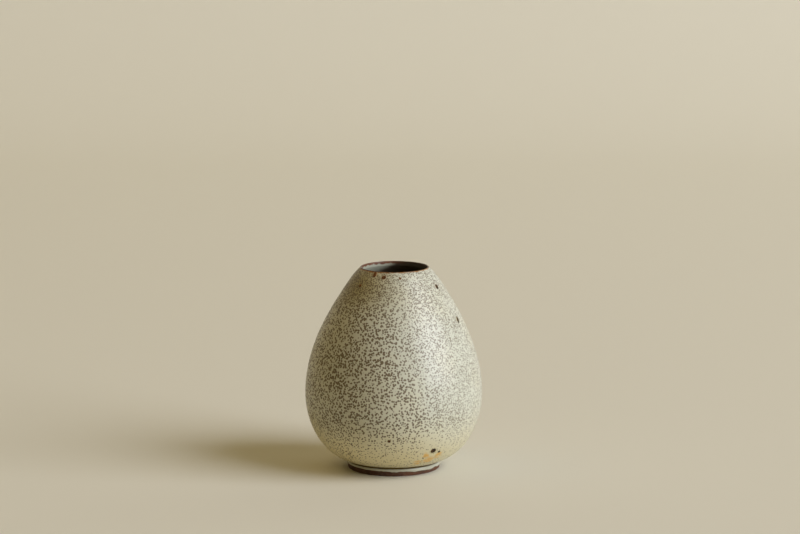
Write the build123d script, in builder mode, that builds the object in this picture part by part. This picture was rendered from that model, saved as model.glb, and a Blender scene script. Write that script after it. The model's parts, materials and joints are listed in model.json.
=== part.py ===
"""Bud vase: a thrown stoneware pot and the coats of glaze fired on to it, each a solid of its own.

Millimetres, +Z up, with the origin at the middle of the ring that the vase stands on.
Every piece is turned round Z. Azimuths are in degrees from the front (-Y), positive towards +X.
"""

import os
from collections import namedtuple
from math import cos, radians, sin, tan

from build123d import *

# The vase as it stands, glaze included.
overall_height = 100.0
mouth_radius = 16.0  # the glazed throat, where a stem or a stopper goes in

# The thrown clay.
belly_radius = 43.1
belly_height = 37.6  # where the pot is widest
waist_slope = 13.75  # rise of the belly's underside at the waist, in degrees
shoulder_slope = 55.3  # fall of the shoulder where it is straightest, in degrees
brow_radius = 30.0  # of the curve that turns the shoulder in to the lip
brow_slope = 42.0  # fall of the brow where it meets the lip, in degrees
lip_round = 0.25
mouth_land = 2.0  # straight part of the throat below the lip
wall_thickness = 4.0
floor_thickness = 5.6

# How far each end of an outline holds its direction: as a share of the rise at the belly, and of
# the way across to or from the belly elsewhere.
waist_hold = 0.652
belly_hold_below = 0.453
belly_hold_above = 0.238
shoulder_hold = 0.834
floor_hold = 0.83
inside_hold_below = 0.55

# The turned foot.
foot_radius = 22.7
foot_height = 3.8  # up to the turned groove
foot_width = 3.6  # of the standing ring
foot_edge = 0.5
foot_recess = 3.2
recess_round = 1.4
groove_width = 1.3
groove_depth = 0.9
waist_overhang = 0.5  # how far the waist, above the groove, stands out from the foot's side

# The glaze coats.
rim_coat = 0.2  # also the thin end of the body glaze and of the liner
belly_coat = 0.5
waist_coat = 0.6
foot_coat = 0.5
bare_clay_height = 1.9  # clay wiped clean of glaze at the bottom of the foot
liner_coat = 0.4

# Nodules of iron in the clay that have melted out through the body glaze.
# Each place is given by its azimuth and its share of the way up the wall from the waist to the lip.
IronSpot = namedtuple("IronSpot", "azimuth way_up radius")
iron_spot_fill = 0.7  # share of the glaze's thickness that the iron fills, which leaves a pit
iron_spot_places = [
    IronSpot(azimuth=-32, way_up=0.985, radius=0.8),
    IronSpot(azimuth=-16, way_up=0.9725, radius=0.7),
    IronSpot(azimuth=62, way_up=0.908, radius=0.85),
    IronSpot(azimuth=70, way_up=0.735, radius=1.0),
    IronSpot(azimuth=-3, way_up=0.2255, radius=0.55),
    IronSpot(azimuth=31, way_up=0.158, radius=1.1),
    IronSpot(azimuth=37, way_up=0.147, radius=0.45),
    IronSpot(azimuth=-48, way_up=0.921, radius=0.5),
    IronSpot(azimuth=8, way_up=0.968, radius=0.4),
    IronSpot(azimuth=118, way_up=0.561, radius=0.8),
    IronSpot(azimuth=149, way_up=0.844, radius=0.7),
    IronSpot(azimuth=176, way_up=0.275, radius=0.9),
    IronSpot(azimuth=214, way_up=0.678, radius=0.6),
    IronSpot(azimuth=247, way_up=0.942, radius=0.75),
]

# Worked out from the sizes above. Every outline is drawn in the XZ plane as (radius, height).
throat_radius = mouth_radius + rim_coat
lip_centre = Vector(throat_radius + lip_round, overall_height - rim_coat - lip_round)
brow_normal = Vector(sin(radians(brow_slope)), cos(radians(brow_slope)))
wall_end = lip_centre + brow_normal * lip_round
brow_centre = wall_end - brow_normal * brow_radius
shoulder_normal = Vector(sin(radians(shoulder_slope)), cos(radians(shoulder_slope)))
down_shoulder = Vector(1, -tan(radians(shoulder_slope)))  # one across, and down by the slope
waist_normal = Vector(sin(radians(waist_slope)), -cos(radians(waist_slope)))
waist = Vector(foot_radius + waist_overhang, foot_height + groove_width)
land_bottom = lip_centre.Y - mouth_land
inner_radius = belly_radius - wall_thickness
floor_height = foot_recess + floor_thickness
foot_inner_radius = foot_radius - foot_width


def up(length):
    return Vector(0, length)


def outer_wall(at_waist, at_belly, at_lip):
    """Draws the clay's outer wall, or the face of a coat that stands on it by these thicknesses."""
    start = waist + waist_normal * at_waist
    belly = Vector(belly_radius + at_belly, belly_height)
    shoulder = brow_centre + shoulder_normal * (brow_radius + at_lip)
    middle = brow_centre + (shoulder_normal + brow_normal).normalized() * (brow_radius + at_lip)
    waist_way = Vector(-waist_normal.Y, waist_normal.X) * (belly_radius - waist.X) * waist_hold
    shoulder_way = down_shoulder * (belly_radius - shoulder.X) * shoulder_hold
    below = up(belly_height - waist.Y) * belly_hold_below
    above = up(shoulder.Y - belly_height) * belly_hold_above
    Bezier(start, start + waist_way, belly - below, belly)
    Bezier(belly, belly + above, shoulder + shoulder_way, shoulder)
    ThreePointArc(shoulder, middle, wall_end + brow_normal * at_lip)


def inner_wall(at_land, at_belly, at_floor):
    """Draws the clay's inner wall, or the face of a coat that lines it by these thicknesses."""
    start = Vector(throat_radius - at_land, land_bottom)
    belly = Vector(inner_radius - at_belly, belly_height)
    floor = Vector(0, floor_height + at_floor)
    throat_way = down_shoulder * (inner_radius - throat_radius) * shoulder_hold
    floor_way = Vector(inner_radius, 0) * floor_hold
    above = up(land_bottom - belly_height) * belly_hold_above
    below = up(belly_height - floor_height) * inside_hold_below
    Bezier(start, start + throat_way, belly + above, belly)
    Bezier(belly, belly - below, floor + floor_way, floor)


def lip_arc(at_lip):
    """Draws the lip's round from the throat to the end of the wall, on the clay or on its glaze."""
    radius = lip_round + at_lip
    ThreePointArc(lip_centre - Vector(radius, 0), lip_centre + up(radius), lip_centre + brow_normal * radius)


def spot_plane(spot):
    """Plane on the clay's wall at an iron spot, looking straight out of the wall."""
    with BuildLine() as line:
        outer_wall(0, 0, 0)
    wall = line.wire()
    point = wall @ spot.way_up
    way = wall % spot.way_up
    east = sin(radians(spot.azimuth))
    north = -cos(radians(spot.azimuth))
    origin = Vector(point.X * east, point.X * north, point.Y)
    return Plane(origin=origin, z_dir=Vector(way.Y * east, way.Y * north, -way.X))


# The pot: thrown in one, then turned at the foot. Its lip, groove and standing ring end bare or nearly so.
with BuildPart() as clay_body:
    with BuildSketch(Plane.XZ):
        with BuildLine():
            outer_wall(0, 0, 0)
            lip_arc(0)
            Line((throat_radius, lip_centre.Y), (throat_radius, land_bottom))
            inner_wall(0, 0, 0)
            Line((0, floor_height), (0, foot_recess))
            FilletPolyline(
                (0, foot_recess),
                (foot_inner_radius, foot_recess),
                (foot_inner_radius, 0),
                (foot_radius, 0),
                (foot_radius, foot_height),
                radius=[recess_round, foot_edge, foot_edge],
            )
            ThreePointArc(
                (foot_radius, foot_height),
                (foot_radius - groove_depth, foot_height + groove_width / 2),
                waist,
            )
        make_face()
    revolve(axis=Axis.Z)
clay_body.part.label = "clay_body"

# The speckled coat from the waist to the lip.
with BuildPart() as body_glaze:
    with BuildSketch(Plane.XZ):
        with BuildLine():
            outer_wall(0, 0, 0)
            outer_wall(waist_coat, belly_coat, rim_coat)
            Line(waist, waist + waist_normal * waist_coat)
            Line(wall_end, wall_end + brow_normal * rim_coat)
        make_face()
    revolve(axis=Axis.Z)

# The thin rust-coloured glaze over the lip and down the throat.
with BuildPart() as rim_glaze:
    with BuildSketch(Plane.XZ):
        with BuildLine():
            lip_arc(0)
            lip_arc(rim_coat)
            Line(wall_end, wall_end + brow_normal * rim_coat)
            Polyline(
                (throat_radius, lip_centre.Y),
                (throat_radius, land_bottom),
                (mouth_radius, land_bottom),
                (mouth_radius, lip_centre.Y),
            )
        make_face()
    revolve(axis=Axis.Z)
rim_glaze.part.label = "rim_glaze"

# The liner, poured in and out again, which makes the inside hold water.
with BuildPart() as liner_glaze:
    with BuildSketch(Plane.XZ):
        with BuildLine():
            inner_wall(0, 0, 0)
            inner_wall(rim_coat, liner_coat, liner_coat)
            Line((throat_radius, land_bottom), (mouth_radius, land_bottom))
            Line((0, floor_height), (0, floor_height + liner_coat))
        make_face()
    revolve(axis=Axis.Z)
liner_glaze.part.label = "liner_glaze"

# The bead of glaze that has run down on to the foot and stopped above the bare clay.
with BuildPart() as foot_glaze:
    with BuildSketch(Plane.XZ):
        with BuildLine():
            Line((foot_radius, bare_clay_height), (foot_radius, foot_height))
            ThreePointArc(
                (foot_radius, bare_clay_height),
                (foot_radius + foot_coat, (bare_clay_height + foot_height) / 2),
                (foot_radius, foot_height),
            )
        make_face()
    revolve(axis=Axis.Z)
foot_glaze.part.label = "foot_glaze"

# Where the iron spots come through, as pins that cross the glaze. They cut it, and shape the spots.
with BuildPart() as spot_pins:
    for spot in iron_spot_places:
        with BuildSketch(spot_plane(spot)):
            Circle(spot.radius)
        extrude(amount=2 * waist_coat, both=True)

with BuildPart() as iron_spots:
    with BuildSketch(Plane.XZ):
        with BuildLine():
            outer_wall(0, 0, 0)
            outer_wall(*(iron_spot_fill * coat for coat in (waist_coat, belly_coat, rim_coat)))
            Line(waist, waist + waist_normal * waist_coat * iron_spot_fill)
            Line(wall_end, wall_end + brow_normal * rim_coat * iron_spot_fill)
        make_face()
    revolve(axis=Axis.Z)
    add(spot_pins.part, mode=Mode.INTERSECT)
iron_spots.part.label = "iron_spots"

with body_glaze:
    add(spot_pins.part, mode=Mode.SUBTRACT)
body_glaze.part.label = "body_glaze"

os.makedirs("parts", exist_ok=True)
export_step(clay_body.part, "parts/clay_body.step")
export_step(body_glaze.part, "parts/body_glaze.step")
export_step(rim_glaze.part, "parts/rim_glaze.step")
export_step(liner_glaze.part, "parts/liner_glaze.step")
export_step(foot_glaze.part, "parts/foot_glaze.step")
export_step(iron_spots.part, "parts/iron_spots.step")
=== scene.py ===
"""A thrown stoneware bud vase with a speckled satin glaze, standing near a large soft window."""

import json
from collections import namedtuple
from math import atan2, cos, degrees, pi, radians, sin

import bpy
import numpy as np
from mathutils import Matrix, Vector
from mathutils.bvhtree import BVHTree


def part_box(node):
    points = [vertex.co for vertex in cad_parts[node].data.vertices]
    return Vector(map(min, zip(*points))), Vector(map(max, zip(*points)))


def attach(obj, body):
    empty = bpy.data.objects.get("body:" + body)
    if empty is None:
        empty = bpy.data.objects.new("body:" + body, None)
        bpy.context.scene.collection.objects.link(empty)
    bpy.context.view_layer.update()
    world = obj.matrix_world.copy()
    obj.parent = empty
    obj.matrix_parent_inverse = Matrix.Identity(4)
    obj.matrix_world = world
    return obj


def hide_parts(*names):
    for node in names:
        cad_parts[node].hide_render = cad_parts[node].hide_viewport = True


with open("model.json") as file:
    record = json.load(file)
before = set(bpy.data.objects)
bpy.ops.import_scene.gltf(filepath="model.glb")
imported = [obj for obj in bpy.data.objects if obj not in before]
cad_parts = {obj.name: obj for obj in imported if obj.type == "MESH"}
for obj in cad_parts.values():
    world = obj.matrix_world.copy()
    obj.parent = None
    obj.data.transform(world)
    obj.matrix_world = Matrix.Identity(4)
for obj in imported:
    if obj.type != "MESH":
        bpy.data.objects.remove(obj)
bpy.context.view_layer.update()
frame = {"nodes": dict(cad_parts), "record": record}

MM = 0.001

# Sizes read from the frame.
mounts = {mount["name"]: mount for mount in frame["record"]["mounts"]}
mouth_radius = mounts["mouth"]["dims"]["r_mm"] * MM
lip_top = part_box("rim_glaze")[1].z
lip_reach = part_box("rim_glaze")[1].x
land_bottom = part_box("rim_glaze")[0].z
coat_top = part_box("body_glaze")[1].z
waist_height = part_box("body_glaze")[0].z
bead_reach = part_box("foot_glaze")[1].x
bead_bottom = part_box("foot_glaze")[0].z
bead_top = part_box("foot_glaze")[1].z
floor_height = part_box("liner_glaze")[0].z

# How finely the turned pieces are made.
AROUND = 96
FINE_AROUND = 120
SMOOTHING = 2

# The thrown wall wanders a little to +X on its way up the shoulder.
WANDER = 0.5 * MM
WANDER_FROM = 62 * MM
WANDER_TO = 90 * MM

rng = np.random.default_rng(11)


# ---------------------------------------------------------------- measuring the frame


def surface_of(mesh):
    return BVHTree.FromPolygons([v.co for v in mesh.vertices], [p.vertices[:] for p in mesh.polygons])


def turned_to(azimuth):
    """Straight out from the axis at an azimuth in degrees: the front is 0, and +X is 90."""
    return Vector((sin(radians(azimuth)), -cos(radians(azimuth)), 0))


def reach(surface, height, outside=True):
    """Radius of a turned surface at a height: the most found over a turn, as flat facets cut inside it."""
    found = []
    for azimuth in range(0, 360, 15):
        out = turned_to(azimuth)
        start = out * (0.1 if outside else 0.0) + Vector((0, 0, height))
        hit = surface.ray_cast(start, -out if outside else out)[0]
        if hit:
            found.append(hit.xy.length)
    return max(found)


def outline(node, low, high, rings, outside=True):
    """Evenly spaced points (radius, height) up a CAD node's surface."""
    surface = surface_of(frame["nodes"][node].data)
    heights = np.linspace(low, high, 400)
    radii = np.array([reach(surface, z, outside) for z in heights])
    along = np.concatenate([[0], np.cumsum(np.hypot(np.diff(radii), np.diff(heights)))])
    places = np.linspace(0, along[-1], rings)
    return list(zip(np.interp(places, along, radii), np.interp(places, along, heights)))


def underside(node, radii):
    """Points (radius, height) out along a CAD node's underside."""
    surface = surface_of(frame["nodes"][node].data)
    points = []
    for radius in radii:
        starts = [turned_to(azimuth) * radius - Vector((0, 0, 0.01)) for azimuth in range(0, 360, 15)]
        points.append((radius, min(surface.ray_cast(start, Vector((0, 0, 1)))[0].z for start in starts)))
    return points


def islands(node):
    """Middle and half width of each separate lump of a CAD node, by azimuth."""
    mesh = frame["nodes"][node].data
    leader = list(range(len(mesh.vertices)))

    def lead(v):
        while leader[v] != v:
            leader[v] = leader[leader[v]]
            v = leader[v]
        return v

    seen = {}
    for vertex in mesh.vertices:
        same = seen.setdefault(tuple(round(c * 1e6) for c in vertex.co), vertex.index)
        leader[lead(vertex.index)] = lead(same)
    for edge in mesh.edges:
        leader[lead(edge.vertices[0])] = lead(edge.vertices[1])
    lumps = {}
    for vertex in mesh.vertices:
        lumps.setdefault(lead(vertex.index), []).append(vertex.co)
    found = []
    for points in lumps.values():
        middle = sum(points, Vector()) / len(points)
        found.append((middle, max((p - middle).length for p in points)))
    return sorted(found, key=lambda lump: atan2(lump[0].x, -lump[0].y))


# ---------------------------------------------------------------- making meshes


def deselect():
    bpy.ops.object.select_all(action="DESELECT")


def pick(piece):
    deselect()
    piece.select_set(True)
    bpy.context.view_layer.objects.active = piece


def settle(piece):
    """Puts a piece's place, turn and size into its mesh."""
    pick(piece)
    bpy.ops.object.transform_apply(location=True, rotation=True, scale=True)


def wander(height):
    """How far the wall's middle has moved to +X at a height."""
    share = min(max((height - WANDER_FROM) / (WANDER_TO - WANDER_FROM), 0.0), 1.0)
    return WANDER * share * share * (3 - 2 * share)


def pull_up(name, points, around=AROUND, joined=True):
    """A turned form pulled up ring by ring from a circle. Its last ring is joined to its first, or else
    both of its end rings are filled in."""
    deselect()
    radius, height = points[0]
    bpy.ops.mesh.primitive_circle_add(vertices=around, radius=radius, location=(wander(height), 0, height))
    piece = bpy.context.object
    piece.name = piece.data.name = name
    settle(piece)
    bpy.ops.object.mode_set(mode="EDIT")
    bpy.ops.mesh.select_all(action="SELECT")
    for next_radius, next_height in points[1:]:
        step = (wander(next_height) - wander(height), 0, next_height - height)
        bpy.ops.mesh.extrude_edges_move(TRANSFORM_OT_translate={"value": step})
        grow = next_radius / radius
        middle = (wander(next_height), 0, next_height)
        bpy.ops.transform.resize(value=(grow, grow, 1), center_override=middle)
        radius, height = next_radius, next_height
    bpy.ops.mesh.select_all(action="DESELECT")
    bpy.ops.mesh.select_non_manifold()
    if joined:
        bpy.ops.mesh.bridge_edge_loops()
    else:
        bpy.ops.mesh.fill()
    bpy.ops.mesh.select_all(action="SELECT")
    bpy.ops.mesh.normals_make_consistent(inside=False)
    bpy.ops.object.mode_set(mode="OBJECT")
    return piece


def apply(piece, modifier):
    pick(piece)
    bpy.ops.object.modifier_apply(modifier=modifier.name)


def smooth(piece, levels=SMOOTHING):
    modifier = piece.modifiers.new("smooth", "SUBSURF")
    modifier.levels = modifier.render_levels = levels
    apply(piece, modifier)
    bpy.ops.object.shade_smooth()


def roughen(piece, size, depth, where=None, direction="NORMAL"):
    """Moves the surface in and out by soft noise of a size, all over or only where a test picks vertices."""
    clouds = bpy.data.textures.new(piece.name + "_noise", "CLOUDS")
    clouds.noise_scale = size
    clouds.noise_basis = "IMPROVED_PERLIN"
    modifier = piece.modifiers.new("roughen", "DISPLACE")
    modifier.texture = clouds
    modifier.texture_coords = "LOCAL"
    modifier.strength = depth
    modifier.mid_level = 0.5
    modifier.direction = direction
    if where:
        group = piece.vertex_groups.new(name="roughened")
        for vertex in piece.data.vertices:
            group.add([vertex.index], where(vertex.co), "REPLACE")
        modifier.vertex_group = group.name
    apply(piece, modifier)


def choose(piece, test):
    """Selects the vertices that pass a test, and stays in edit mode."""
    pick(piece)
    bpy.ops.object.mode_set(mode="EDIT")
    bpy.ops.mesh.select_mode(type="VERT")
    bpy.ops.mesh.select_all(action="DESELECT")
    bpy.ops.object.mode_set(mode="OBJECT")
    for vertex in piece.data.vertices:
        vertex.select = test(vertex.co)
    bpy.ops.object.mode_set(mode="EDIT")


# ---------------------------------------------------------------- materials


class Paint:
    """A material, with short ways to add the nodes that the finishes share."""

    def __init__(self, name):
        self.material = bpy.data.materials.new(name)
        self.material.use_nodes = True
        self.nodes = self.material.node_tree.nodes
        self.links = self.material.node_tree.links
        self.shader = self.nodes["Principled BSDF"]
        self.place = self.add("ShaderNodeTexCoord").outputs["Object"]
        self.x, _, self.height = self.add("ShaderNodeSeparateXYZ", {"Vector": self.place}).outputs

    def add(self, kind, inputs=None, **settings):
        node = self.nodes.new(kind)
        for key, value in settings.items():
            setattr(node, key, value)
        for key, value in (inputs or {}).items():
            if isinstance(value, bpy.types.NodeSocket):
                self.links.new(value, node.inputs[key])
            else:
                node.inputs[key].default_value = value
        return node

    def sum(self, operation, *values):
        return self.add("ShaderNodeMath", dict(enumerate(values)), operation=operation).outputs[0]

    def noise(self, scale, detail=2.0, roughness=0.5, place=None):
        inputs = {"Vector": place or self.place, "Scale": scale, "Detail": detail, "Roughness": roughness}
        return self.add("ShaderNodeTexNoise", inputs).outputs["Fac"]

    def wobble(self, scale, detail=2.0, roughness=0.5):
        """Noise that goes as far below 0 as above it, to move an edge in and out."""
        return self.sum("SUBTRACT", self.noise(scale, detail, roughness), 0.5)

    def stretched(self, x, y, z):
        """Places scaled along each axis, so that a pattern comes out drawn out along one of them."""
        return self.add("ShaderNodeMapping", {"Vector": self.place, "Scale": (x, y, z)}).outputs[0]

    def step(self, value, low, high, start=0.0, end=1.0):
        """Goes smoothly from start to end as a value goes from low to high, and stays there past them."""
        inputs = {"Value": value, "From Min": low, "From Max": high, "To Min": start, "To Max": end}
        node = self.add("ShaderNodeMapRange", inputs, interpolation_type="SMOOTHSTEP")
        return node.outputs["Result"]

    def near(self, point, size, ragged, edge):
        """1 close to a point, falling to 0 at a distance from it, with an edge as ragged as a wobble."""
        inputs = {0: self.place, 1: point}
        far = self.add("ShaderNodeVectorMath", inputs, operation="DISTANCE").outputs["Value"]
        far = self.sum("MULTIPLY_ADD", edge, ragged, far)
        return self.step(far, size, size * 0.25)

    def mix(self, share, first, second):
        node = self.add("ShaderNodeMix", data_type="RGBA")
        for socket, value in zip((node.inputs[0], node.inputs[6], node.inputs[7]), (share, first, second)):
            self.put(value, socket)
        return node.outputs[2]

    def finish(self, colour, roughness, bump=None, depth=0.0):
        self.put(colour, self.shader.inputs["Base Color"])
        self.put(roughness, self.shader.inputs["Roughness"])
        if bump is not None:
            node = self.add("ShaderNodeBump", {"Height": bump, "Distance": depth, "Strength": 1.0})
            self.put(node.outputs["Normal"], self.shader.inputs["Normal"])
        return self.material

    def put(self, value, socket):
        """Joins a node's output to a socket, or sets the socket to a number or a colour."""
        if isinstance(value, bpy.types.NodeSocket):
            self.links.new(value, socket)
        elif isinstance(value, float):
            socket.default_value = value
        else:
            socket.default_value = (*value, 1)


# The speckled coat.
CELADON = (0.635, 0.65, 0.54)
BUTTER = (0.70, 0.62, 0.36)
OLIVE = (0.30, 0.24, 0.065)
SPECK = (0.15, 0.112, 0.062)
AMBER = (0.72, 0.42, 0.07)

# The lip and the inside.
ORANGE = (0.32, 0.14, 0.03)
RUST = (0.12, 0.045, 0.02)
BURNT = (0.20, 0.075, 0.035)
LIP_CROWN = (0.06, 0.022, 0.012)
SHADE_BROWN = (0.05, 0.03, 0.018)
# Painted shade: the dark brown laid inside the right of the lip and the mouth, which the window doesn't
# reach.
LINER = (0.42, 0.43, 0.33)
THIN_LINER = (0.38, 0.37, 0.29)

# The foot.
PALE = (0.55, 0.56, 0.46)
THIN_PALE = (0.5, 0.47, 0.33)
BARE_CLAY = (0.07, 0.028, 0.013)
TOASTED_CLAY = (0.13, 0.05, 0.02)
CLAY_PIT = (0.035, 0.02, 0.012)
SAND = (0.22, 0.15, 0.095)

# The iron spots.
IRON = (0.012, 0.008, 0.005)
WARM_IRON = (0.11, 0.055, 0.02)
RUSTED_IRON = (0.16, 0.062, 0.016)

# The speckle: specks to the metre, how far each strays from its place, how big they are as a share of
# the way between them, and how soft their edge is.
COARSE_SPECKS = 900.0
FINE_SPECKS = 1300.0
SPECK_STRAY = 0.3 * MM
SPECK_SIZE = 0.445
SPECK_EDGE = 0.06

# How far the stain round an iron spot reaches, for the spot's size, and how strong it is.
STAIN_REACH = 2.3
STAIN_STRENGTH = 0.75

# Where a little flame colour has come through above the foot. Heights and sizes are in millimetres.
Blush = namedtuple("Blush", "azimuth height size")
BLUSHES = [
    Blush(azimuth=31, height=9.6, size=4.4),
    Blush(azimuth=38, height=11.6, size=3.2),
    Blush(azimuth=22, height=8.4, size=3.6),
    Blush(azimuth=26, height=12.6, size=2.4),
    Blush(azimuth=172, height=11.5, size=4.0),
    Blush(azimuth=-118, height=9.5, size=3.6),
]


def on_coat(coat, azimuth, height):
    """Point on the body coat at an azimuth and a height, and the way out from it."""
    out = turned_to(azimuth)
    start = out * 0.1 + Vector((wander(height), 0, height))
    return coat.ray_cast(start, -out)[:2]


def speckle(paint):
    """How fully a speck covers each place. Specks crowd together at the left, thin out above the foot, and
    are finer at the right and towards the lip; at the right they are also fainter, as painted sheen. Also how
    far left a place is, and how near the lip."""
    aslant = paint.sum("MULTIPLY_ADD", paint.height, 0.3, paint.x)
    left = paint.step(aslant, 41 * MM, 9 * MM)
    low = paint.step(paint.height, 34 * MM, 13 * MM)
    high = paint.step(paint.height, 78 * MM, 95 * MM)
    # Specks grow a little more left of the middle: partly their own denser band, partly painted shade there.
    crowd = paint.step(paint.x, 4 * MM, -14 * MM)
    cloud = paint.wobble(62.0, 2.0)
    clump = paint.wobble(420.0, 1.0)
    inputs = {"Vector": paint.place, "Scale": FINE_SPECKS, "Detail": 1.0}
    drift = paint.add("ShaderNodeTexNoise", inputs).outputs["Color"]
    inputs = {0: drift, 1: (SPECK_STRAY, SPECK_STRAY, SPECK_STRAY), 2: paint.place}
    astray = paint.add("ShaderNodeVectorMath", inputs, operation="MULTIPLY_ADD").outputs[0]
    coarse = paint.add("ShaderNodeTexVoronoi", {"Vector": astray, "Scale": COARSE_SPECKS}).outputs["Distance"]
    fine = paint.add("ShaderNodeTexVoronoi", {"Vector": astray, "Scale": FINE_SPECKS}).outputs["Distance"]
    finer = paint.sum("MAXIMUM", high, paint.sum("SUBTRACT", 0.85, left))
    away = paint.add("ShaderNodeMix", {0: finer, 2: coarse, 3: fine}, data_type="FLOAT").outputs[0]
    fewer = paint.sum("MULTIPLY_ADD", left, -0.09, -0.10)
    size = SPECK_SIZE
    for share, growth in ((crowd, 0.04), (low, fewer), (high, 0.03), (cloud, 0.2), (clump, 0.3)):
        size = paint.sum("MULTIPLY_ADD", share, growth, size)
    inside = paint.step(paint.sum("SUBTRACT", size, away), -SPECK_EDGE, SPECK_EDGE)
    # Painted sheen: specks are about a quarter fainter at the right, where the window's sheen washes them
    # out.
    strength = paint.sum("MULTIPLY_ADD", left, 0.26, 0.74)
    return paint.sum("MULTIPLY", inside, strength), left, high


def speckled_glaze(coat, spots):
    """Satin celadon that pools to butter above the foot, brighter at the lower left as painted warm bounce
    light, and with painted shade in olive at the left. The iron stains it, flame colour blushes through it in
    streaks, and it burns to a thin line at the lip."""
    paint = Paint("speckled_glaze")
    mask, left, high = speckle(paint)
    ragged = paint.wobble(420.0, 3.0, 0.6)
    cloud = paint.noise(38.0, 3.0)

    # Butter where the glaze pools above the foot, with more of it towards the left: partly the pooled glaze's
    # own colour, partly painted warm light bounced up from the paper at the lower left.
    pooled = paint.step(paint.height, 36 * MM, 8 * MM)
    pooled = paint.sum("MULTIPLY", pooled, paint.step(paint.x, 32 * MM, -8 * MM, 0.5, 0.92))
    butter = paint.sum("ADD", pooled, paint.step(cloud, 0.4, 0.75, 0.0, 0.2))
    base = paint.mix(butter, CELADON, BUTTER)
    # Painted shade: olive laid over the left, the side away from the window, fading in from 14 mm to 30 mm
    # up. Near the lip at the left more olive is added, partly the haze of fine specks and partly painted
    # shade.
    shade = paint.step(paint.x, 12 * MM, -22 * MM, 0.0, 0.34)
    shade = paint.sum("MULTIPLY", shade, paint.step(paint.height, 14 * MM, 30 * MM))
    haze = paint.sum("MULTIPLY_ADD", paint.sum("MULTIPLY", high, left), 0.5, shade)
    base = paint.mix(haze, base, OLIVE)
    colour = paint.mix(mask, base, SPECK)

    blush = 0.0
    for azimuth, height, size in BLUSHES:
        point = on_coat(coat, azimuth, height * MM)[0]
        blush = paint.sum("MAXIMUM", blush, paint.near(point, size * MM, 6 * MM, ragged))
    streaks = paint.noise(1.0, 3.0, 0.6, place=paint.stretched(330, 330, 1100))
    blush = paint.sum("MULTIPLY", blush, paint.step(streaks, 0.36, 0.60, 0.25, 0.95))
    colour = paint.mix(blush, colour, AMBER)

    bleed = 0.0
    for middle, size in spots:
        bleed = paint.sum("MAXIMUM", bleed, paint.near(middle, size * STAIN_REACH, 1.2 * MM, ragged))
    stain = paint.mix(paint.step(paint.height, 90 * MM, 94 * MM), OLIVE, ORANGE)
    colour = paint.mix(paint.sum("MULTIPLY", bleed, STAIN_STRENGTH), colour, stain)

    lip_line = paint.sum("MULTIPLY_ADD", ragged, 1.2 * MM, paint.height)
    lip_line = paint.sum("MULTIPLY_ADD", left, 0.35 * MM, lip_line)
    colour = paint.mix(paint.step(lip_line, coat_top - 0.35 * MM, coat_top), colour, ORANGE)
    colour = paint.mix(paint.step(lip_line, coat_top, coat_top + 0.3 * MM), colour, RUST)

    bump = paint.sum("MULTIPLY_ADD", paint.noise(650.0, 2.0), 0.6, paint.sum("MULTIPLY", mask, -0.35))
    roughness = paint.sum("MULTIPLY_ADD", mask, 0.12, paint.step(cloud, 0.3, 0.7, 0.28, 0.35))
    return paint.finish(colour, roughness, bump, 0.07 * MM)


def rust_glaze():
    """Burnt thin over the lip: orange in places at its outer edge, fuller at the right partly as painted
    light, dark on its round, darkened inside the right by painted shade, and giving way to the liner down the
    throat."""
    paint = Paint("rust_glaze")
    flat = paint.add("ShaderNodeVectorMath", {0: paint.place, 1: (1, 1, 0)}, operation="MULTIPLY").outputs[0]
    shifted = paint.add("ShaderNodeVectorMath", {0: flat, 1: (WANDER, 0, 0)}, operation="SUBTRACT").outputs[0]
    radius = paint.add("ShaderNodeVectorMath", {0: shifted}, operation="LENGTH").outputs["Value"]
    ragged = paint.wobble(380.0, 3.0, 0.6)
    wobbling = paint.sum("MULTIPLY_ADD", ragged, 0.9 * MM, radius)
    tone = paint.noise(160.0, 3.0)
    colour = paint.mix(paint.step(tone, 0.35, 0.65), RUST, BURNT)
    # Painted shade: the inside of the lip darkens to dark brown towards the right, where it turns away from
    # the window.
    colour = paint.mix(paint.step(paint.x, -5 * MM, 7 * MM, 0.0, 0.85), colour, SHADE_BROWN)
    crown = paint.step(wobbling, mouth_radius + 0.1 * MM, mouth_radius + 0.35 * MM)
    colour = paint.mix(crown, colour, LIP_CROWN)
    # The orange edge is fuller towards the right: partly the thin glaze's own orange, partly painted light
    # where the edge faces the window.
    east = paint.sum("MULTIPLY_ADD", ragged, 40 * MM, paint.x)
    lit_right_orange = paint.step(east, -14 * MM, 16 * MM, 0.05, 1.0)
    edge = paint.sum("MULTIPLY", paint.step(wobbling, lip_reach - 0.35 * MM, lip_reach), lit_right_orange)
    colour = paint.mix(edge, colour, ORANGE)
    low = paint.sum("MULTIPLY_ADD", ragged, 2.6 * MM, paint.height)
    colour = paint.mix(paint.step(low, lip_top - 0.8 * MM, lip_top - 1.3 * MM), colour, throat(paint))
    return paint.finish(colour, paint.step(tone, 0.3, 0.7, 0.3, 0.42), paint.noise(700.0, 2.0), 0.06 * MM)


def throat(paint):
    """Grey-white liner, with painted shade in dark brown inside the right of the mouth that fades out lower
    down.
    """
    cloud = paint.noise(90.0, 3.0)
    colour = paint.mix(paint.step(cloud, 0.35, 0.7, 0.0, 0.5), LINER, THIN_LINER)
    edge = paint.sum("MULTIPLY_ADD", cloud, 6 * MM, paint.x)
    edge = paint.sum("ADD", edge, paint.step(paint.height, lip_top, lip_top - 6 * MM, 0.0, 8 * MM))
    # Painted shade: dark brown inside the right of the mouth, which the window doesn't reach, fading out
    # lower down.
    painted_throat_shade = paint.step(edge, 0.0, 6 * MM, 0.0, 0.95)
    painted_throat_shade = paint.sum("MULTIPLY", painted_throat_shade, paint.step(paint.height, lip_top - 26 * MM, lip_top - 12 * MM))
    return paint.mix(painted_throat_shade, colour, SHADE_BROWN)


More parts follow.
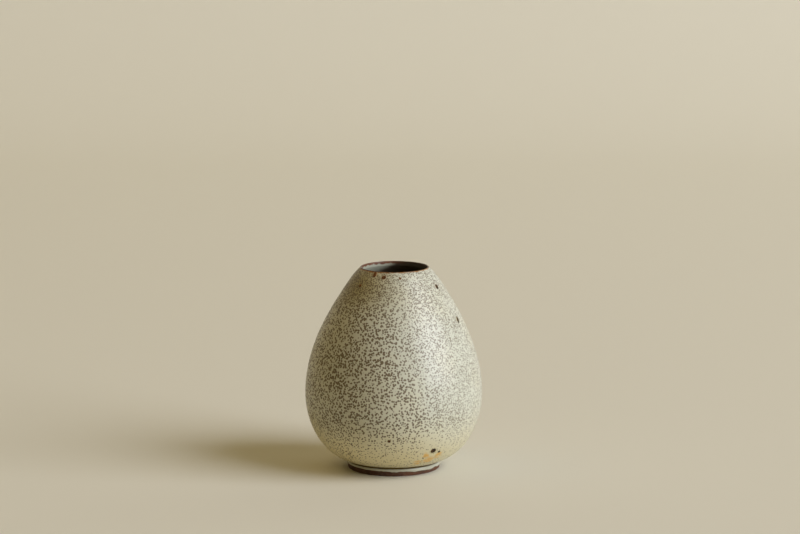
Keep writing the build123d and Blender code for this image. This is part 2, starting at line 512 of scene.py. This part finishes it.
def liner_glaze():
    paint = Paint("liner_glaze")
    cloud = paint.noise(90.0, 3.0)
    specks = paint.step(paint.noise(1100.0, 1.0), 0.66, 0.72, 0.0, 0.6)
    colour = paint.mix(specks, throat(paint), SPECK)
    return paint.finish(colour, paint.step(cloud, 0.3, 0.7, 0.3, 0.4), paint.noise(500.0, 2.0), 0.08 * MM)


def pale_glaze():
    """Glossy and thick where it has pooled, and thin and browner where its edges have stopped."""
    paint = Paint("pale_glaze")
    edge = paint.sum("MULTIPLY_ADD", paint.wobble(500.0, 3.0, 0.6), 0.6 * MM, paint.height)
    cloud = paint.noise(200.0, 2.0)
    colour = paint.mix(paint.step(cloud, 0.4, 0.7, 0.0, 0.5), PALE, THIN_PALE)
    thin_below = paint.step(edge, bead_bottom + 0.35 * MM, bead_bottom - 0.1 * MM, 0.0, 0.75)
    colour = paint.mix(thin_below, colour, RUST)
    thin_above = paint.step(edge, bead_top - 0.25 * MM, bead_top + 0.1 * MM, 0.0, 0.7)
    colour = paint.mix(thin_above, colour, RUST)
    return paint.finish(colour, 0.16, paint.noise(700.0, 2.0), 0.04 * MM)


def stoneware():
    """Dark bare clay with sand and pits in it, olive where glaze has thinned into the groove, and rubbed
    paler on the edge that it stands on."""
    paint = Paint("stoneware")
    tone = paint.noise(120.0, 4.0, 0.6)
    sand = paint.noise(2200.0, 1.0)
    colour = paint.mix(paint.step(tone, 0.35, 0.65), BARE_CLAY, TOASTED_CLAY)
    colour = paint.mix(paint.step(sand, 0.6, 0.7, 0.0, 0.55), colour, SAND)
    colour = paint.mix(paint.step(sand, 0.4, 0.33, 0.0, 0.6), colour, CLAY_PIT)
    colour = paint.mix(paint.step(paint.height, bead_top - 0.2 * MM, bead_top + 0.4 * MM), colour, OLIVE)
    worn = paint.step(paint.height, 0.4 * MM, 0.0)
    worn = paint.sum("MULTIPLY", worn, paint.step(tone, 0.4, 0.6, 0.2, 0.7))
    colour = paint.mix(worn, colour, SAND)
    grain = paint.sum("MULTIPLY_ADD", sand, 0.8, paint.noise(900.0, 3.0, 0.7))
    return paint.finish(colour, 0.82, grain, 0.16 * MM)


def iron_spot():
    """Nearly black, and rusty near the lip, but not at its right."""
    paint = Paint("iron_spot")
    tone = paint.noise(1300.0, 3.0, 0.6)
    colour = paint.mix(paint.step(tone, 0.42, 0.62), IRON, WARM_IRON)
    rusty = paint.step(tone, 0.35, 0.55, 0.15, 0.95)
    rusty = paint.sum("MULTIPLY", rusty, paint.step(paint.height, lip_top - 9 * MM, lip_top - 7 * MM))
    rusty = paint.sum("MULTIPLY", rusty, paint.step(paint.x, 9 * MM, 5 * MM))
    colour = paint.mix(rusty, colour, RUSTED_IRON)
    paint.put(0.2, paint.shader.inputs["Specular IOR Level"])
    return paint.finish(colour, paint.step(tone, 0.35, 0.65, 0.45, 0.65), tone, 0.08 * MM)


# ---------------------------------------------------------------- pieces

RIPPLE = 0.05 * MM  # left by the fingers up the wall
TOOL_MARK = 0.07 * MM  # left by the turning tool under the foot
BEAD_TILT = radians(-1.6)
SPOT_DEPTH = 0.3 * MM
SPOT_LIFT = 0.04 * MM

# How wide and tall an iron spot is for its size, and how many degrees it is turned. All but these are plain.
SpotShape = namedtuple("SpotShape", "azimuth wide tall turn")
SPOT_SHAPES = [
    SpotShape(azimuth=-32, wide=1.0, tall=2.3, turn=8),
    SpotShape(azimuth=-16, wide=1.6, tall=1.4, turn=30),
    SpotShape(azimuth=62, wide=1.3, tall=1.6, turn=-25),
    SpotShape(azimuth=70, wide=0.65, tall=2.0, turn=-20),
]
PLAIN_SPOT = SpotShape(azimuth=None, wide=1.3, tall=1.3, turn=0)


def keep(piece, material, slot, *nodes):
    piece.data.materials.append(material)
    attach(piece, "root")
    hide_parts(*nodes)


def make_body_coat():
    """The speckled coat, from the waist up to the lip and back down against the clay."""
    points = outline("body_glaze", waist_height + 0.12 * MM, coat_top - 0.05 * MM, 46)
    ripples = np.convolve(rng.normal(0, RIPPLE, len(points) + 2), [0.25, 0.5, 0.25], "valid")
    points = [(r + ripple, z) for (r, z), ripple in zip(points, ripples)]
    points += [(lip_reach - 0.15 * MM, coat_top - 0.02 * MM), (lip_reach - 0.45 * MM, coat_top - 0.3 * MM)]
    clay = outline("clay_body", waist_height + 0.9 * MM, coat_top - 1.2 * MM, 10)
    piece = pull_up("body_coat", points + clay[::-1])
    smooth(piece)
    roughen(piece, 3.2 * MM, 0.08 * MM)
    roughen(piece, 30 * MM, 0.35 * MM, lambda co: min(max((lip_top - co.z) / (25 * MM), 0), 1))
    return piece


def make_lip():
    """The rust-coloured skin, from outside the lip over its round and down the throat."""
    round_radius = 0.45 * MM
    centre = Vector((mouth_radius + round_radius, lip_top - round_radius))
    arc = [centre + round_radius * Vector((cos(radians(a)), sin(radians(a)))) for a in range(40, 181, 20)]
    points = [(lip_reach + 0.3 * MM, coat_top - 0.6 * MM), (lip_reach - 0.02 * MM, coat_top - 0.12 * MM)]
    points += [tuple(p) for p in arc]
    points += [(mouth_radius, lip_top - 1.3 * MM), (mouth_radius + 0.02 * MM, lip_top - 2 * MM)]
    points += [(mouth_radius + 0.03 * MM, land_bottom), (mouth_radius + 0.4 * MM, land_bottom)]
    points += [(mouth_radius + 0.5 * MM, centre.y - 1.4 * MM), (lip_reach - 0.1 * MM, coat_top - 0.9 * MM)]
    piece = pull_up("rust_lip", points, around=FINE_AROUND)
    smooth(piece)
    roughen(piece, 5 * MM, 0.16 * MM)
    roughen(piece, 1.5 * MM, 0.07 * MM)
    keep(piece, rust_glaze(), "rust_glaze", "rim_glaze")


def make_liner():
    """The coat poured round the inside, 0.3 mm thick."""
    inside = outline("liner_glaze", floor_height + 0.6 * MM, land_bottom - 0.1 * MM, 30, outside=False)
    inside += [(mouth_radius + 0.06 * MM, land_bottom + 0.9 * MM)]
    points = [(0.3 * MM, floor_height + 0.4 * MM)] + inside
    points += [(r + 0.3 * MM, z) for r, z in inside[::-1]]
    points += [(0.3 * MM, floor_height + 0.1 * MM)]
    piece = pull_up("liner_coat", points, joined=False)
    smooth(piece)
    roughen(piece, 4 * MM, 0.15 * MM)
    keep(piece, liner_glaze(), "liner_glaze", "liner_glaze")


def make_clay_pot():
    """The pot itself: a turned foot, a wall inside and out, and a lip that the glaze covers."""
    foot_reach = bead_reach - 0.5 * MM
    recess = np.array([0.3, 2.2, 4.2, 6.2, 8.2, 10.2, 12, 13.6, 15, 16.2, 17.2, 18, 18.6]) * MM
    ring = np.array([18.95, 19.3, 19.8, 20.9, 21.9, 22.3]) * MM
    under = underside("clay_body", [*recess, *ring])
    tool_marks = [TOOL_MARK, -TOOL_MARK] * 5 + [0] * (len(under) - 10)
    under = [(r, z + mark) for (r, z), mark in zip(under, tool_marks)]
    side = [(foot_reach - 0.06 * MM, 0.3 * MM), (foot_reach, 0.8 * MM), (foot_reach, 1.5 * MM)]
    side += [(foot_reach, 2.3 * MM), (foot_reach - 0.02 * MM, bead_top - 0.5 * MM)]
    groove = outline("clay_body", bead_top, waist_height + 0.2 * MM, 8)
    wall = outline("clay_body", waist_height + 0.6 * MM, coat_top - 0.5 * MM, 14)
    lip = [(lip_reach + 0.1 * MM, coat_top - 0.8 * MM), (lip_reach - 0.3 * MM, lip_top - 0.6 * MM)]
    lip += [(mouth_radius + 0.3 * MM, lip_top - 0.8 * MM)]
    inside = outline("clay_body", floor_height + 0.6 * MM, land_bottom, 14, outside=False)
    points = under + side + groove + wall + lip + inside[::-1] + [(0.3 * MM, floor_height)]
    piece = pull_up("clay_pot", points, joined=False)
    smooth(piece)

    def on_foot(co):
        return float(0.4 * MM < co.z < bead_top and co.xy.length > 15 * MM)

    roughen(piece, 2.0 * MM, 0.12 * MM, on_foot)
    keep(piece, stoneware(), "stoneware", "clay_body")


def make_foot_bead():
    """The run of glaze that has pooled on the foot. It hangs lower at the right."""
    deep = bead_reach - 0.7 * MM
    rise = bead_top - bead_bottom
    shape = [(0.0, 0.24), (0.35, 0.26), (0.62, 0.34), (0.7, 0.46), (0.71, 0.62), (0.66, 0.8), (0.45, 0.94)]
    shape += [(0.1, 1.0), (-0.25, 0.8), (-0.25, 0.45)]
    points = [(deep + out * MM, bead_bottom + up * rise) for out, up in shape]
    piece = pull_up("foot_bead", points, around=FINE_AROUND)
    smooth(piece, 1)
    choose(piece, lambda co: co.z < bead_bottom + 0.4 * rise)
    hinge = (0, 0, bead_bottom)
    bpy.ops.transform.rotate(value=BEAD_TILT, orient_axis="Y", center_override=hinge)
    bpy.ops.object.mode_set(mode="OBJECT")
    roughen(piece, 6 * MM, 2.4 * MM, lambda co: max(0.0, 1 - (co.z - bead_bottom) / (0.6 * rise)), "Z")
    roughen(piece, 1.6 * MM, 1.8 * MM, lambda co: max(0.0, 1 - (co.z - bead_bottom) / (0.5 * rise)), "Z")
    smooth(piece, 1)
    keep(piece, pale_glaze(), "pale_glaze", "foot_glaze")


def model_spot():
    """One iron spot of 1 mm radius, modelled flat: a low swelling that dips a little in the middle. Its side
    is sunk in the glaze."""
    deselect()
    middle = (0, 0, -SPOT_DEPTH / 2)
    bpy.ops.mesh.primitive_cylinder_add(vertices=14, radius=1 * MM, depth=SPOT_DEPTH, location=middle)
    spot = bpy.context.object
    settle(spot)
    choose(spot, lambda co: co.z > -0.01 * MM)
    bpy.ops.mesh.select_mode(type="FACE")
    for inset, rise in ((0.14, 0.1), (0.2, 0.05), (0.2, -0.02), (0.2, -0.02)):
        bpy.ops.mesh.inset(thickness=inset * MM)
        bpy.ops.transform.translate(value=(0, 0, rise * MM))
    bpy.ops.object.mode_set(mode="OBJECT")
    smooth(spot)
    roughen(spot, 0.7 * MM, 0.25 * MM)
    return spot


def make_iron_spots(coat, spots):
    """Copies of the one spot, each stretched, turned and roughened in its place on the coat."""
    model = model_spot()
    material = iron_spot()
    for number, (middle, size) in enumerate(spots, 1):
        azimuth = degrees(atan2(middle.x - wander(middle.z), -middle.y))
        shape = next((shape for shape in SPOT_SHAPES if abs(shape.azimuth - azimuth) < 2), PLAIN_SPOT)
        pick(model)
        bpy.ops.object.duplicate()
        spot = bpy.context.object
        spot.name = spot.data.name = f"iron_spot_{number:02d}"
        point, normal = on_coat(coat, azimuth, middle.z)
        across = Vector((0, 0, 1)).cross(normal).normalized()
        upright = normal.cross(across)
        facing = Matrix((across, upright, normal)).transposed()
        turned = facing @ Matrix.Rotation(radians(shape.turn), 3, "Z")
        spot.matrix_world = Matrix.Translation(point + normal * SPOT_LIFT) @ turned.to_4x4()
        spot.scale = (shape.wide * size / MM, shape.tall * size / MM, 1)
        settle(spot)
        roughen(spot, 1.1 * MM, 0.4 * MM)
        keep(spot, material, "iron_spot", "iron_spots")
    bpy.data.objects.remove(model)


body_coat = make_body_coat()
coat_surface = surface_of(body_coat.data)
iron_places = [(middle + Vector((wander(middle.z), 0, 0)), size) for middle, size in islands("iron_spots")]
keep(body_coat, speckled_glaze(coat_surface, iron_places), "speckled_glaze", "body_glaze")
make_lip()
make_liner()
make_clay_pot()
make_foot_bead()
make_iron_spots(coat_surface, iron_places)


# ---------------------------------------------------------------- where it stands

# The sheet of paper, in metres: how far behind the vase it turns up, and the size of the turn.
PAPER = (0.76, 0.74, 0.625)
BACKDROP = 1.7
SWEEP_BEND = 0.6
SHEET_WIDTH = 7.0
SHEET_LENGTH = 5.2
SHEET_RISE = 2.0
CREASE = 0.01  # how close to the backdrop's line an edge is to belong to it

HAZE_COLOUR = (1.0, 0.73, 0.29)
HAZE_STRENGTH = 0.16

LENS = 135
CAMERA_TILT = radians(9.7)
CAMERA_DISTANCE = 1.467
CAMERA_ASIDE = 3.1 * MM
AIM_BELOW_LIP = 0.25 * MM


def make_stage():
    """A plain pale sheet of paper that runs back behind the vase and curves up into a backdrop."""
    deselect()
    bpy.ops.mesh.primitive_plane_add(size=1.0, location=(0, 0, 0))
    sweep = bpy.context.object
    sweep.name = "sweep"
    bpy.ops.transform.resize(value=(SHEET_WIDTH, SHEET_LENGTH, 1))
    bpy.ops.transform.translate(value=(0, BACKDROP - SHEET_LENGTH / 2, 0))
    settle(sweep)
    bpy.ops.object.mode_set(mode="EDIT")
    bpy.ops.mesh.select_all(action="DESELECT")
    bpy.ops.object.mode_set(mode="OBJECT")
    for edge in sweep.data.edges:
        edge.select = all(sweep.data.vertices[v].co.y > BACKDROP - CREASE for v in edge.vertices)
    bpy.ops.object.mode_set(mode="EDIT")
    bpy.ops.mesh.extrude_edges_move(TRANSFORM_OT_translate={"value": (0, 0, SHEET_RISE)})
    bpy.ops.object.mode_set(mode="OBJECT")
    for edge in sweep.data.edges:
        ends = [sweep.data.vertices[v].co for v in edge.vertices]
        edge.select = all(end.y > BACKDROP - CREASE and end.z < CREASE for end in ends)
    bpy.ops.object.mode_set(mode="EDIT")
    bpy.ops.mesh.bevel(offset=SWEEP_BEND, segments=16)
    bpy.ops.object.mode_set(mode="OBJECT")
    bpy.ops.object.shade_smooth()
    paint = Paint("pale_paper")
    sweep.data.materials.append(paint.finish(PAPER, 0.9))


def make_light(name, azimuth, elevation, distance, width, height, power, colour):
    """A soft rectangular light that faces the belly."""
    e = radians(elevation)
    aim = Vector((0, 0, 0.05))
    back = turned_to(azimuth) * cos(e) + Vector((0, 0, sin(e)))
    data = bpy.data.lights.new(name, "AREA")
    data.shape = "RECTANGLE"
    data.size, data.size_y = width, height
    data.energy = power
    data.color = colour
    light = bpy.data.objects.new(name, data)
    bpy.context.scene.collection.objects.link(light)
    light.location = aim + back * distance
    light.rotation_euler = (-back).to_track_quat("-Z", "Y").to_euler()


def make_camera():
    data = bpy.data.cameras.new("camera")
    data.lens = LENS
    data.sensor_width = 36
    camera = bpy.data.objects.new("camera", data)
    bpy.context.scene.collection.objects.link(camera)
    back = CAMERA_DISTANCE * cos(CAMERA_TILT)
    up = CAMERA_DISTANCE * sin(CAMERA_TILT)
    camera.location = (CAMERA_ASIDE, -back, lip_top + up - AIM_BELOW_LIP)
    camera.rotation_euler = (pi / 2 - CAMERA_TILT, 0, 0)
    bpy.context.scene.camera = camera


make_stage()
make_light(
    "window",
    azimuth=66,
    elevation=28,
    distance=6.6,
    width=4.8,
    height=6.0,
    power=470,
    colour=(0.98, 1.0, 1.1),
)
make_light(
    "room",
    azimuth=-90,
    elevation=60,
    distance=6.0,
    width=4.5,
    height=4.5,
    power=36,
    colour=(1.0, 0.72, 0.26),
)
world = bpy.data.worlds.new("haze")
world.use_nodes = True
world.node_tree.nodes["Background"].inputs["Color"].default_value = (*HAZE_COLOUR, 1)
world.node_tree.nodes["Background"].inputs["Strength"].default_value = HAZE_STRENGTH
bpy.context.scene.world = world
bpy.context.scene.view_settings.view_transform = "Standard"
make_camera()
